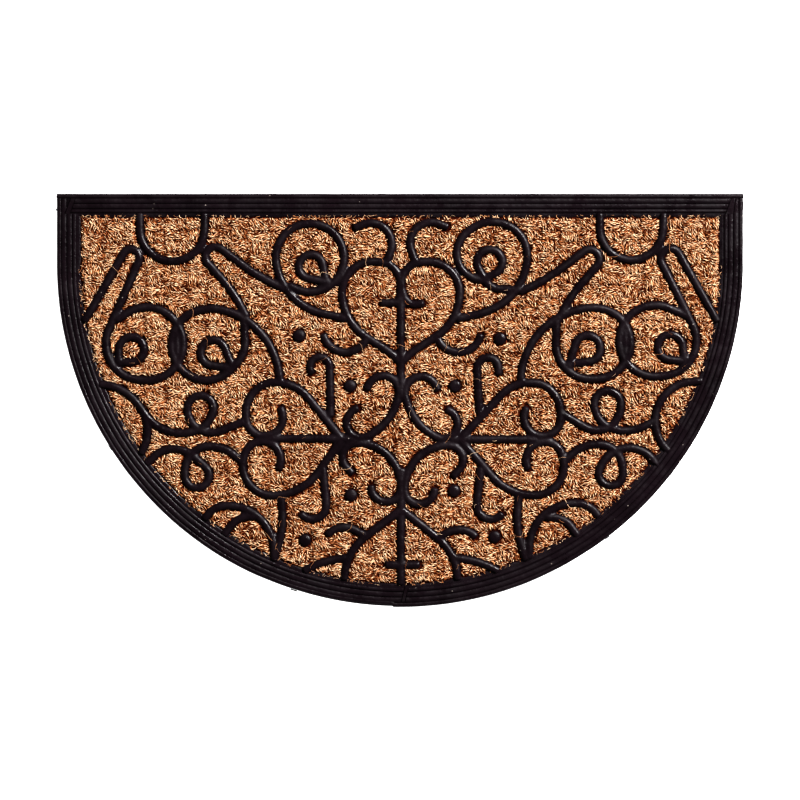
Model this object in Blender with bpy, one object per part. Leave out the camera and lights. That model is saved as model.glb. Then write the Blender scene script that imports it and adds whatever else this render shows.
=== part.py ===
"""Half-round doormat: a moulded rubber mat holding a coir inlay under rubber scrollwork.

X runs along the straight edge, +Y towards it, and the underside lies on Z = 0.
The origin is the middle of the footprint. Sizes in the tables are millimetres.
"""
import math

import bmesh
import bpy
from mathutils import Vector

MM = 0.001

# Outline: a half circle with short straight sides below a straight edge
WIDTH = 762.0
SIDE = 78.0
RADIUS = WIDTH / 2
DEPTH = SIDE + RADIUS
OUTLINE_STEPS = 44

# Thicknesses, measured up from the floor
SHEET_TOP = 2.5
EDGE_TOP = 7.4
RIB_TOP = 9.0
GROOVE_FLOOR = 7.7
LIP_TOP = 6.7
CLEARANCE = 0.3
COIR_BOTTOM = SHEET_TOP + CLEARANCE
COIR_TOP = 7.0

# Ribbed border, from the outer edge inwards: how far in each line lies, and its height
BORDER_PROFILE = [
    # (inset, height)
    (1.0, RIB_TOP),
    (4.5, RIB_TOP), (5.1, GROOVE_FLOOR), (5.7, RIB_TOP),
    (10.4, RIB_TOP), (11.0, GROOVE_FLOOR), (11.6, RIB_TOP),
    (16.4, RIB_TOP), (17.0, GROOVE_FLOOR), (17.6, RIB_TOP),
    (21.2, RIB_TOP), (21.6, LIP_TOP),
    (24.0, LIP_TOP), (24.3, SHEET_TOP),
]
BORDER_WIDTH = 24.3

# Scrollwork rods: a D section, flat underneath
ROD_WIDTH = 8.0
ROD_HEIGHT = 3.0
ROD_BOTTOM = COIR_TOP + CLEARANCE
ROD_SHOULDER_WIDTH = 6.6
ROD_SHOULDER_HEIGHT = 2.15
ROD_END_TAPER = [
    # (distance from the tip, share of the full section)
    (0.0, 0.5), (2.2, 1.0),
]
BEND_TOLERANCE = 0.75
SHORTEST_STEP = 4.0
# A sweep this close to a full turn, in degrees, is a bend that the rod only grazes
GRAZING_SWEEP = 350.0
WELD_DISTANCE = 0.001
# Undersides that lie in one plane don't join cleanly, so the rods' heights differ a little
ROD_LEVELS = 6
LEVEL_STEP = 0.04
CLIMB = 0.0005

# The pattern's centre line lies a little to the right of the outline's
PATTERN_SHIFT = 1.1

# Each scroll is bent round the bends of its row, joined by straight tangents.
# A bend is (out from the centre line, down from the straight edge, radius).
# The radius is positive where the rod of the left half turns clockwise, seen from
# above, negative where it turns the other way, and 0 at the rod's two ends.
SIDE_SCROLLS = {
    "arch": [(290, 20, 0), (254, 39, -36), (218, 20, 0)],
    "outer_leaf_and_ring": [(349.5, 138.5, 0), (298.5, 72, 12.5), (285.5, 166.5, -41.5),
                            (319, 141.5, 0)],
    "outer_ring_curl": [(318, 190.5, 0), (298.5, 174, -13), (321, 177.5, 0)],
    "inner_ring": [(134.5, 210, 0), (217.5, 210, -83), (213.5, 167.5, -40.5),
                   (174.5, 138.5, 0)],
    "inner_ring_curl": [(185, 194, 0), (207.5, 176, -14), (186.5, 194.5, 0)],
    "inner_leaf": [(126.5, 107, 0), (47.5, -91, 213), (206, 70, -11), (320.5, 201.5, 162),
                   (170.5, 139, 0)],
    "volute": [(59, 139.5, 0), (71, 66.5, 68.5), (101, 71, 38), (126.5, 101, 0)],
    "volute_curl": [(83.5, 97.5, 0), (100, 81, -13.5), (76.5, 99.5, 0)],
    "top_curl": [(54, 39, 0), (33.5, 56, 23.5), (16.5, 77.5, 0)],
    "top_heart": [(0, 188, 0), (54, 228, -66.5), (5.5, 109, 60), (30.5, 110.5, 35),
                  (24, 99.5, 23.5), (23.5, 123.5, 0)],
    "heart_hook": [(37.5, 159.5, 0), (61.5, 150.5, 25.5), (87, 154, 0)],
    "upper_crook": [(98, 202, 0), (90, 192.5, 11), (78.5, 249.5, 0)],
    "diamond_top": [(39, 219.5, 0), (20, 220, 18), (63.5, 213.5, 61.5), (44, 254.5, 16.5),
                    (45.5, 237.5, 0)],
    "diamond_bottom": [(52, 312.5, 0), (49, 292.5, 16), (48.5, 325, 48.5),
                       (16.5, 325.5, 16.5), (33.5, 322, 0)],
    "side_heart_top": [(65, 273, 0), (139, 256, -46.5), (139, 242.5, -33),
                       (151.5, 248.5, -20.5), (135.5, 235.5, 0)],
    "side_heart_bottom": [(65, 272, 0), (142, 274, 61), (142.5, 302, 33),
                          (154, 295.5, 20.5), (137, 308, 0)],
    "side_heart_stem": [(150, 272, 0), (50, 272, 0)],
    "lower_crook": [(87, 302.5, 0), (98.5, 346, 15.5), (112.5, 353.5, 0)],
    "heart_foot": [(133.5, 333.5, 0), (253.5, 357, 122), (140.5, 404.5, 0)],
    "lower_arch": [(219.5, 363.5, 0), (193.5, 373, 26.5), (191.5, 397, 50.5), (140.5, 407, 0)],
    "lower_arch_branch": [(198, 381, 0), (167.5, 385.5, 27), (159.5, 359, 0)],
    "root": [(0, 350.5, 0), (5.5, 427, -57), (63, 431, 0)],
    "root_curl": [(36.5, 381, 0), (63, 396.5, -26), (83.5, 380, 0)],
    "root_branch": [(54.5, 404, 0), (56, 504.5, -100), (110, 420, 0)],
    "side_scroll_top": [(337, 211.5, 0), (335.5, 266.5, 54.5), (243.5, 217, -49),
                        (237.5, 235.5, -29.5), (222.5, 238.5, -14.5), (210.5, 239, -26.5),
                        (172, 252, 0)],
    "side_scroll_branch": [(286.5, 239, 0), (331.5, 262.5, 50), (288, 288.5, 0)],
    "side_scroll_bottom": [(284.5, 302, 0), (252, 317, 33.5), (226.5, 313, 13.5),
                           (212.5, 308, 27.5), (213, 326, 45.5), (174, 299, 0)],
    "ring_web": [(249, 150, 0), (249, 181, 0)],
}
# The right half is laid by the same rows, with some scrolls moved by (out, down)
RIGHT_MOVES = {
    "arch": (2.5, 0.0),
    "inner_leaf": (3.5, 3.0),
    "top_curl": (0.0, -1.0),
    "heart_hook": (2.5, 0.0),
    "diamond_top": (2.5, 1.0),
    "diamond_bottom": (4.0, 3.0),
    "side_heart_stem": (3.0, 1.0),
    "lower_crook": (1.5, 0.0),
    "heart_foot": (-2.5, 0.0),
    "lower_arch": (1.5, -3.0),
    "lower_arch_branch": (0.0, 1.0),
    "root_curl": (1.5, 2.5),
}
# and some bent a little differently
RIGHT_SCROLLS = {
    "outer_leaf_and_ring": [(352.5, 144, 0), (300.5, 71.5, 12.5), (286, 163.5, -41.5),
                            (320.5, 140, 0)],
    "outer_ring_curl": [(320.5, 186, 0), (299.5, 170.5, -14), (322, 174, 0)],
    "inner_ring": [(133, 209.5, 0), (216, 209.5, -83), (211.4, 164.5, -41), (173, 138, 0)],
    "inner_ring_curl": [(184.5, 190.5, 0), (207, 171.5, -14.5), (185, 191, 0)],
    "volute": [(60, 139.5, 0), (72, 66.5, 68.5), (102, 71, 38), (92, 66.2, 30), (101, 95, 0)],
    "volute_curl": [(120, 105.8, 0), (108.7, 89, -16.6), (98.5, 76, -14), (88, 97, 0)],
    "upper_crook": [(108.3, 203, 0), (96.5, 193.7, 11.8), (87.5, 247, 0)],
    "side_heart_top": [(65, 273, 0), (144.5, 256, -46.5), (144.5, 242.5, -33),
                       (157, 248.5, -20.5), (141, 235.5, 0)],
    "side_heart_bottom": [(65, 272, 0), (147.5, 274, 61), (148, 302, 33),
                          (159.5, 295.5, 20.5), (142.5, 308, 0)],
    "side_scroll_top": [(285, 250, 0), (249.5, 217, -46), (244, 232.5, -29.5),
                        (229.5, 233, -14.5), (217.5, 236, -26.5), (181, 248, 0)],
    "side_scroll_branch": [(337, 207.5, 0), (326, 252.5, 44), (299, 287.5, 0)],
    "side_scroll_bottom": [(281, 302, 0), (253, 315.5, 33.5), (233, 310.5, 13.5),
                           (219, 305.5, 27.5), (219.5, 323.5, 45.5), (181, 299, 0)],
}
CENTRE_RODS = {
    # name: the two ends of a straight rod, as (right of the centre line, down)
    "upper_stem": [(0, 99.5), (0, 229)],
    "lower_stem": [(0, 303), (0, 436)],
    "cross_bar": [(-19.5, 412), (19.5, 412)],
}

# Studs that pin the inlay, given as (out, down)
LEFT_STUDS = [(113, 157.5), (56.5, 213.5), (55.5, 334.5), (106.5, 384.5)]
RIGHT_STUDS = [(110, 161), (60, 213.5), (59, 330), (104, 381)]
STUD_DIAMETER = 12.0
STUD_SHOULDER = 8.3
STUD_DOME = [
    # (further in, further up), line by line from the shoulder
    (1.4, 1.3), (2.2, 0.7),
]
STUD_STEPS = 12
# The studs start inside the sheet and the holes run clear through the inlay
STUD_FOOT = 1.2
HOLE_BOTTOM = 1.0
HOLE_TOP = 12.0

RUBBER_COLOUR = (0.013, 0.012, 0.013)
RUBBER_ROUGHNESS = 0.5
COIR_COLOUR = (0.47, 0.25, 0.09)
COIR_ROUGHNESS = 0.95


def heading_between(start, finish):
    """Heading of the straight tangent that leaves one bend for the next."""
    along_x = finish[0] - start[0]
    along_y = finish[1] - start[1]
    apart = math.hypot(along_x, along_y)
    lean = max(-1.0, min(1.0, (start[2] - finish[2]) / apart))
    return math.atan2(along_y, along_x) - math.asin(lean)


def point_on_bend(bend, heading):
    """Point of a bend where a rod passes with this heading."""
    x, y, radius = bend
    return (x - radius * math.sin(heading), y + radius * math.cos(heading))


def scroll_path(bends):
    """Points along a rod that is bent round (x, y, signed radius) bends in turn."""
    headings = [heading_between(a, b) for a, b in zip(bends, bends[1:])]
    points = [bends[0][:2]]
    for bend, heading_in, heading_out in zip(bends[1:-1], headings, headings[1:]):
        turn = 1 if bend[2] > 0 else -1
        sweep = (turn * (heading_in - heading_out)) % (2 * math.pi)
        if sweep > math.radians(GRAZING_SWEEP):
            sweep = 0.0
        largest = 2 * math.acos(1 - BEND_TOLERANCE / abs(bend[2]))
        steps = max(1, math.ceil(sweep / largest))
        for step in range(steps + 1):
            heading = heading_in - turn * sweep * step / steps
            points.append(point_on_bend(bend, heading))
    points.append(bends[-1][:2])
    return drop_close_points(points)


def drop_close_points(points):
    """The same path without steps shorter than SHORTEST_STEP; both ends are kept."""
    kept = [points[0]]
    for point in points[1:-1]:
        nearest = min(math.dist(point, kept[-1]), math.dist(point, points[-1]))
        if nearest > SHORTEST_STEP:
            kept.append(point)
    return kept + [points[-1]]


def pattern_paths():
    """Every rod of the scrollwork as a named path in plan, X and Y in millimetres."""
    paths = {}
    for name, bends in SIDE_SCROLLS.items():
        further_out, further_down = RIGHT_MOVES.get(name, (0.0, 0.0))
        moved = [(out + further_out, down + further_down, radius) for out, down, radius in bends]
        right_bends = RIGHT_SCROLLS.get(name, moved)
        left = scroll_path([(-out, DEPTH / 2 - down, radius) for out, down, radius in bends])
        right = scroll_path([(-out, DEPTH / 2 - down, radius) for out, down, radius in right_bends])
        paths[name + "_left"] = [(PATTERN_SHIFT + x, y) for x, y in left]
        paths[name + "_right"] = [(PATTERN_SHIFT - x, y) for x, y in right]
    for name, ends in CENTRE_RODS.items():
        paths[name] = [(x + PATTERN_SHIFT, DEPTH / 2 - down) for x, down in ends]
    return paths


def stud_places():
    """Centres of the studs in plan, on both halves."""
    sided = [(-out, down) for out, down in LEFT_STUDS] + RIGHT_STUDS
    return [(x + PATTERN_SHIFT, DEPTH / 2 - down) for x, down in sided]


def outline_points(inset=0.0):
    """The mat's outline moved in by an inset, from the straight edge's right end round."""
    radius = RADIUS - inset
    centre_y = DEPTH / 2 - SIDE
    points = [(radius, DEPTH / 2 - inset), (-radius, DEPTH / 2 - inset)]
    for step in range(OUTLINE_STEPS + 1):
        angle = math.pi + math.pi * step / OUTLINE_STEPS
        points.append((radius * math.cos(angle), centre_y + radius * math.sin(angle)))
    return points


def clear_scene():
    for old in list(bpy.data.objects):
        bpy.data.objects.remove(old, do_unlink=True)


def new_collection(name):
    collection = bpy.data.collections.new(name)
    bpy.context.scene.collection.children.link(collection)
    return collection


def new_material(name, colour, roughness):
    material = bpy.data.materials.new(name)
    material.use_nodes = True
    shader = material.node_tree.nodes["Principled BSDF"]
    shader.inputs["Base Color"].default_value = (*colour, 1.0)
    shader.inputs["Roughness"].default_value = roughness
    shader.inputs["Metallic"].default_value = 0.0
    return material


def add_object(name, data, collection, material=None):
    thing = bpy.data.objects.new(name, data)
    collection.objects.link(thing)
    if material:
        data.materials.append(material)
    return thing


def mark_as_guide(thing):
    thing.hide_render = True
    thing.display_type = "WIRE"


def slab(points, bottom, top):
    """Bmesh of a flat plate with this outline, and its upper face."""
    bm = bmesh.new()
    corners = [bm.verts.new((x * MM, y * MM, bottom * MM)) for x, y in points]
    base = bm.faces.new(corners)
    raised = bmesh.ops.extrude_face_region(bm, geom=[base])["geom"]
    lifted = [item for item in raised if isinstance(item, bmesh.types.BMVert)]
    bmesh.ops.translate(bm, verts=lifted, vec=Vector((0, 0, (top - bottom) * MM)))
    bmesh.ops.recalc_face_normals(bm, faces=bm.faces)
    upper = max(bm.faces, key=lambda face: face.calc_center_median().z)
    return bm, upper


def mesh_from(bm, name):
    mesh = bpy.data.meshes.new(name)
    bm.to_mesh(mesh)
    bm.free()
    return mesh


def border_and_sheet_mesh():
    """The backing sheet with its ribbed border, made by insetting the upper face line by line."""
    bm, upper = slab(outline_points(), 0.0, EDGE_TOP)
    line_inset = 0.0
    line_height = EDGE_TOP
    for inset, height in BORDER_PROFILE:
        bmesh.ops.inset_individual(bm, faces=[upper], thickness=(inset - line_inset) * MM,
                                   depth=(height - line_height) * MM, use_even_offset=True)
        line_inset = inset
        line_height = height
    return mesh_from(bm, "rubber_moulding")


def rod_section(collection):
    """Closed D-shaped curve that every rod is swept with."""
    half = ROD_WIDTH / 2
    shoulder = ROD_SHOULDER_WIDTH / 2
    profile = [(-half, 0.0), (half, 0.0), (shoulder, ROD_SHOULDER_HEIGHT),
               (0.0, ROD_HEIGHT), (-shoulder, ROD_SHOULDER_HEIGHT)]
    curve = bpy.data.curves.new("rod_section", "CURVE")
    spline = curve.splines.new("POLY")
    spline.points.add(len(profile) - 1)
    for point, (x, y) in zip(spline.points, profile):
        point.co = (x * MM, y * MM, 0.0, 1.0)
    spline.use_cyclic_u = True
    section = add_object("rod_section", curve, collection)
    mark_as_guide(section)
    return section


def tapered_ends(path):
    """Path points with their share of the full section, rounded off at both tips."""
    def along(start, towards, distance):
        share = distance / math.dist(start, towards)
        return (start[0] + (towards[0] - start[0]) * share,
                start[1] + (towards[1] - start[1]) * share)

    reach = ROD_END_TAPER[-1][0] + SHORTEST_STEP
    middle = [point for point in path[1:-1]
              if math.dist(point, path[0]) > reach and math.dist(point, path[-1]) > reach]
    towards_start = middle[0] if middle else path[-1]
    towards_end = middle[-1] if middle else path[0]
    start = [(along(path[0], towards_start, distance), share) for distance, share in ROD_END_TAPER]
    end = [(along(path[-1], towards_end, distance), share) for distance, share in ROD_END_TAPER]
    return start + [(point, 1.0) for point in middle] + end[::-1]


def rod_curve(name, path, level, section, collection):
    """A rod along its path, whose underside starts at its level and climbs very slightly."""
    curve = bpy.data.curves.new(name, "CURVE")
    curve.dimensions = "3D"
    curve.twist_mode = "Z_UP"
    curve.bevel_mode = "OBJECT"
    curve.bevel_object = section
    curve.use_fill_caps = True
    spline = curve.splines.new("POLY")
    stations = tapered_ends(path)
    spline.points.add(len(stations) - 1)
    height = ROD_BOTTOM + level * LEVEL_STEP
    before = stations[0][0]
    for point, (place, share) in zip(spline.points, stations):
        height += math.dist(before, place) * CLIMB
        before = place
        point.co = (place[0] * MM, place[1] * MM, height * MM, 1.0)
        point.radius = share
    return add_object(name, curve, collection)


def scrollwork_mesh(collection):
    """All rods as one mesh of crossing bodies, ready to be joined to the border."""
    section = rod_section(collection)
    rods = [rod_curve(name, path, index % ROD_LEVELS, section, collection)
            for index, (name, path) in enumerate(pattern_paths().items())]
    depsgraph = bpy.context.evaluated_depsgraph_get()
    joined = bmesh.new()
    for rod in rods:
        swept = bpy.data.meshes.new_from_object(rod.evaluated_get(depsgraph))
        joined.from_mesh(swept)
        bpy.data.meshes.remove(swept)
        bpy.data.objects.remove(rod, do_unlink=True)
    bpy.data.objects.remove(section, do_unlink=True)
    bmesh.ops.remove_doubles(joined, verts=joined.verts, dist=WELD_DISTANCE * MM)
    bmesh.ops.recalc_face_normals(joined, faces=joined.faces)
    return mesh_from(joined, "scrollwork")


def cylinders_mesh(name, diameter, bottom, top, dome=()):
    """Upright cylinders at the studs' places, with an optional dome on top."""
    bm = bmesh.new()
    radius = diameter / 2 * MM
    for x, y in stud_places():
        made = bmesh.ops.create_cone(bm, cap_ends=True, segments=STUD_STEPS, radius1=radius,
                                     radius2=radius, depth=(top - bottom) * MM)
        centre = Vector((x, y, (top + bottom) / 2)) * MM
        bmesh.ops.translate(bm, verts=made["verts"], vec=centre)
        upper = max({face for vert in made["verts"] for face in vert.link_faces},
                    key=lambda face: face.calc_center_median().z)
        for further_in, further_up in dome:
            bmesh.ops.inset_individual(bm, faces=[upper], thickness=further_in * MM,
                                       depth=further_up * MM, use_even_offset=True)
    return mesh_from(bm, name)


def add_boolean(thing, operation, other, crossing=False):
    modifier = thing.modifiers.new(operation.lower() + "_" + other.name, "BOOLEAN")
    modifier.operation = operation
    modifier.object = other
    modifier.solver = "EXACT"
    modifier.use_self = crossing


def build_rubber_moulding(parts, guides, material):
    moulding = add_object("rubber_moulding", border_and_sheet_mesh(), parts, material)
    scrollwork = add_object("scrollwork", scrollwork_mesh(guides), guides)
    studs_mesh = cylinders_mesh("studs", STUD_DIAMETER, STUD_FOOT, STUD_SHOULDER, STUD_DOME)
    studs = add_object("studs", studs_mesh, guides)
    for guide in (scrollwork, studs):
        mark_as_guide(guide)
    add_boolean(moulding, "UNION", scrollwork, crossing=True)
    add_boolean(moulding, "UNION", studs)
    return moulding


def build_coir_panel(parts, guides, material):
    outline = outline_points(BORDER_WIDTH + CLEARANCE)
    bm, _ = slab(outline, COIR_BOTTOM, COIR_TOP)
    panel = add_object("coir_panel", mesh_from(bm, "coir_panel"), parts, material)
    hole_diameter = STUD_DIAMETER + 2 * CLEARANCE
    holes_mesh = cylinders_mesh("stud_holes", hole_diameter, HOLE_BOTTOM, HOLE_TOP)
    holes = add_object("stud_holes", holes_mesh, guides)
    mark_as_guide(holes)
    add_boolean(panel, "DIFFERENCE", holes)
    return panel


def main():
    clear_scene()
    parts = new_collection("half_round_doormat")
    guides = new_collection("guides")
    rubber = new_material("rubber", RUBBER_COLOUR, RUBBER_ROUGHNESS)
    coir = new_material("coir", COIR_COLOUR, COIR_ROUGHNESS)
    build_rubber_moulding(parts, guides, rubber)
    build_coir_panel(parts, guides, coir)


main()
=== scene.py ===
"""Looks of the half-round doormat: moulded rubber border, scrollwork and studs over a coir inlay.

X runs along the straight edge, +Y towards it, Z is up, and sizes in the tables are millimetres.
"""
import math
import random

import bmesh
import bpy
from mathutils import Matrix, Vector, noise


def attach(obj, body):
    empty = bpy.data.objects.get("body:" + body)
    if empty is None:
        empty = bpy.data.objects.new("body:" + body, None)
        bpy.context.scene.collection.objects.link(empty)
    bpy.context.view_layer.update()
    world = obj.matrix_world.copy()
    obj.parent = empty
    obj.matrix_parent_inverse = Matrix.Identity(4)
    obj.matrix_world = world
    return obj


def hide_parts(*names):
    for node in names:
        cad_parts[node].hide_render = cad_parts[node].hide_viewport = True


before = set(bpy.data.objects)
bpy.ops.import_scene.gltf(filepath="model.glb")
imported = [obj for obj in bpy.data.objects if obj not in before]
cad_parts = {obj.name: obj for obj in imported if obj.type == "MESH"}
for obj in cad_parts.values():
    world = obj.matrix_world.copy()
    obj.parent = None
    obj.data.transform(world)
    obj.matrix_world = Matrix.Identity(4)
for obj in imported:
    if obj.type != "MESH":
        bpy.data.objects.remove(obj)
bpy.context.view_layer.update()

MM = 0.001

# Outline of the mat
WIDTH = 762.0
SIDE = 78.0
RADIUS = WIDTH / 2
DEPTH = SIDE + RADIUS
TOP_Y = DEPTH / 2
ARC_Y = TOP_Y - SIDE

# Heights above the floor
SHEET_TOP = 2.5
RIB_TOP = 9.0
COIR_BOTTOM = 2.9
COIR_TOP = 6.9
ROD_FOOT = 5.9
ROD_TOP = 10.3

# Ribbed border
EDGE_RIB_WIDTH = 5.1
BORDER_WIDTH = 24.3
CUT_GAP = 0.6
SPLICE_STEP = 2.2

EDGE_RIB_PROFILE = [
    # (inset, height)
    (0.0, 0.0), (0.0, 6.6), (0.25, 7.6), (0.8, 8.5), (1.7, 8.95), (3.2, 9.05), (4.4, 8.95),
    (4.85, 8.6), (5.05, 7.9), (5.15, 7.4), (5.15, 0.0),
]
INNER_RIBS_PROFILE = [
    (4.9, 0.0), (4.9, 7.6), (5.3, 7.8), (5.5, 8.6), (6.0, 8.95), (8.2, 9.08), (10.2, 8.95),
    (10.7, 8.6), (10.9, 7.8), (11.1, 7.6), (11.3, 7.8), (11.5, 8.6), (12.0, 8.95), (14.1, 9.08),
    (16.2, 8.95), (16.7, 8.6), (16.9, 7.8), (17.1, 7.6), (17.3, 7.8), (17.5, 8.6),
    (17.9, 8.95), (19.5, 9.05), (20.7, 8.95), (21.2, 8.6), (21.4, 7.6), (21.6, 6.9),
    (22.8, 6.8), (24.6, 6.95), (25.6, 6.7), (26.0, 6.35), (25.7, 6.05), (24.6, 5.9),
    (24.5, 5.2), (24.5, 0.0),
]

BED_BOTTOM = 0.6
BED_TOP = 7.45
STRIP_BOTTOM = 1.0
FLASH_BOTTOM = 3.4
FLASH_TOP = 4.6

# The free edge of the lip over the coir lies past this inset, and above this height
LIP_INSET = 24.55
LIP_HEIGHT = 5.95

# Degrees round the half circle where the two halves of the edge rib meet, and where the
# left half starts to draw in
SPLICE_LEFT = 268.35
SPLICE_RIGHT = 268.95
SPLICE_DRAWS_IN = 235
SPLICE_DRAWN = 33

# Plain strips where two runs of ribs meet: left side from foot to head, then right side
JOINT_STRIPS = {
    # name: (foot x, foot y, head x, head y) of its left side, then of its right side
    "left_joint": [(-371.9, 206.5, -365.2, 224.3), (-366.4, 206.5, -360.4, 224.3)],
    "right_joint": [(361.0, 206.5, 367.8, 224.3), (369.8, 206.5, 372.0, 224.3)],
    "splice": [(1.2, -223.8, 6.1, -205.2), (5.3, -223.8, 9.7, -205.2)],
}
CORNER_FOOT = 206.5

# Thin flash left along the mould's edge: its middle, heading in degrees, length and width
EDGE_FLASH = [
    (381.3, 216.5, 90, 11.0, 1.5),
    (-381.2, 212.0, 90, 3.0, 2.0),
    (230.4, -152.3, 37, 6.0, 1.6),
    (301.6, -81.0, 52, 5.0, 1.4),
    (-322.0, -52.6, -58, 7.0, 1.2),
    (-118.0, -210.8, -18, 9.0, 1.2),
    (-142.0, 229.6, 0, 12.0, 1.0),
    (148.0, 229.7, 0, 7.0, 1.1),
    (-20.0, 229.6, 0, 9.0, 1.0),
]

# Scrollwork rods
ROD_WIDTH = 8.9
ROD_END_ROUND = 3.4
ROD_STEP = 1.6
ROD_WANDER = 1.3
GRAZING_SWEEP = 350.0
PATTERN_SHIFT = 1.1

# Webs fill the rods' narrow corners; an end within reach of the border runs on to it
WEB_REACH = 0.8
BORDER_REACH = 6.0
ROD_RUN_ON = 5.5
FUSE_VOXEL = 1.1
FACES_KEPT = 0.36

# Square metres past which a face counts as flat, and keeps a sharper edge to its neighbour
LARGE_FACE = 40e-6


# Each scroll is bent round the bends of its row, joined by straight tangents.
# A bend is (out from the centre line, down from the straight edge, radius).
# The radius is positive where the rod of the left half turns clockwise, seen from
# above, negative where it turns the other way, and 0 at the rod's two ends.
SIDE_SCROLLS = {
    "arch": [(290, 20, 0), (254, 39, -36), (218, 20, 0)],
    "outer_leaf_and_ring": [(349.5, 138.5, 0), (300, 71.3, 9.5), (287, 166.5, -40.5),
                            (282.3, 166.7, -40.5), (318, 141.5, 0)],
    "outer_ring_curl": [(316, 188, 0), (299.2, 173, -14), (313.5, 190, 0)],
    "inner_ring": [(134.5, 210, 0), (217.5, 210, -83), (215, 167.8, -39.5),
                   (215.9, 169.3, -37.8), (210.5, 164, -37.5), (174.5, 138.5, 0)],
    "inner_ring_curl": [(186.5, 193.3, 0), (208.4, 176.5, -14.2), (189, 194.2, 0)],
    "inner_leaf": [(126.5, 107, 0), (47.5, -91, 213), (206, 70, -11), (320.5, 201.5, 162),
                   (170.5, 139, 0)],
    "volute": [(59, 139.5, 0), (71, 66.5, 68.5), (101, 71, 38), (126.5, 101, 0)],
    "volute_curl": [(83.5, 97.5, 0), (100, 81, -13.5), (76.5, 99.5, 0)],
    "top_curl": [(54, 39, 0), (33.5, 56, 23.5), (16.5, 77.5, 0)],
    "top_heart": [(0, 188, 0), (54, 228, -66.5), (5.5, 109, 60), (30.5, 110.5, 35),
                  (24, 99.5, 23.5), (8.8, 113.6, 7.6), (24.5, 121.4, 0)],
    "heart_hook": [(37.5, 159.5, 0), (61.5, 150.5, 25.5), (87, 154, 0)],
    "upper_crook": [(98, 202, 0), (90, 192.5, 11), (78.5, 249.5, 0)],
    "diamond_top": [(39, 219.5, 0), (20, 220, 18), (63.5, 213.5, 61.5), (44, 254.5, 16.5),
                    (45.5, 237.5, 0)],
    "diamond_bottom": [(52, 312.5, 0), (49, 292.5, 16), (48.5, 325, 48.5),
                       (16.5, 325.5, 16.5), (33.5, 322, 0)],
    "side_heart_top": [(65, 273, 0), (139, 256, -46.5), (139, 242.5, -33),
                       (151.5, 248.5, -20.5), (135.5, 235.5, 0)],
    "side_heart_bottom": [(65, 272, 0), (142, 274, 61), (142.5, 302, 33),
                          (154, 295.5, 20.5), (137, 308, 0)],
    "side_heart_stem": [(150, 272, 0), (50, 272, 0)],
    "lower_crook": [(87, 302.5, 0), (98.5, 346, 15.5), (112.5, 353.5, 0)],
    "heart_foot": [(133.5, 333.5, 0), (253.5, 357, 122), (140.5, 404.5, 0)],
    "lower_arch": [(219.5, 363.5, 0), (193.5, 373, 26.5), (191.5, 397, 50.5), (140.5, 407, 0)],
    "lower_arch_branch": [(198, 381, 0), (167.5, 385.5, 27), (159.5, 359, 0)],
    "root": [(0, 350.5, 0), (5.5, 427, -57), (63, 431, 0)],
    "root_curl": [(36.5, 381, 0), (63, 396.5, -26), (83.5, 380, 0)],
    "root_branch": [(54.5, 404, 0), (56, 504.5, -100), (110, 420, 0)],
    "side_scroll_top": [(337, 211.5, 0), (335.5, 266.5, 54.5), (243.5, 217, -49),
                        (237.5, 235.5, -29.5), (222.5, 238.5, -14.5), (210.5, 239, -26.5),
                        (172, 252, 0)],
    "side_scroll_branch": [(286.5, 239, 0), (331.5, 262.5, 50), (288, 288.5, 0)],
    "side_scroll_bottom": [(284.5, 302, 0), (252, 317, 33.5), (226.5, 313, 13.5),
                           (212.5, 308, 27.5), (213, 326, 45.5), (174, 299, 0)],
    "ring_web": [(249, 150, 0), (249, 181, 0)],
}
# The right half is laid by the same rows, with some scrolls moved by (out, down)
RIGHT_MOVES = {
    "inner_leaf": (3.5, 3.0),
    "top_curl": (0.0, -1.0),
    "heart_hook": (2.5, 0.0),
    "diamond_top": (2.5, 1.0),
    "diamond_bottom": (4.0, 3.0),
    "side_heart_stem": (3.0, 1.0),
    "lower_crook": (1.5, 0.0),
    "heart_foot": (-2.5, 0.0),
    "lower_arch": (1.5, -3.0),
    "lower_arch_branch": (0.0, 1.0),
    "root_curl": (1.5, 2.5),
}
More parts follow.
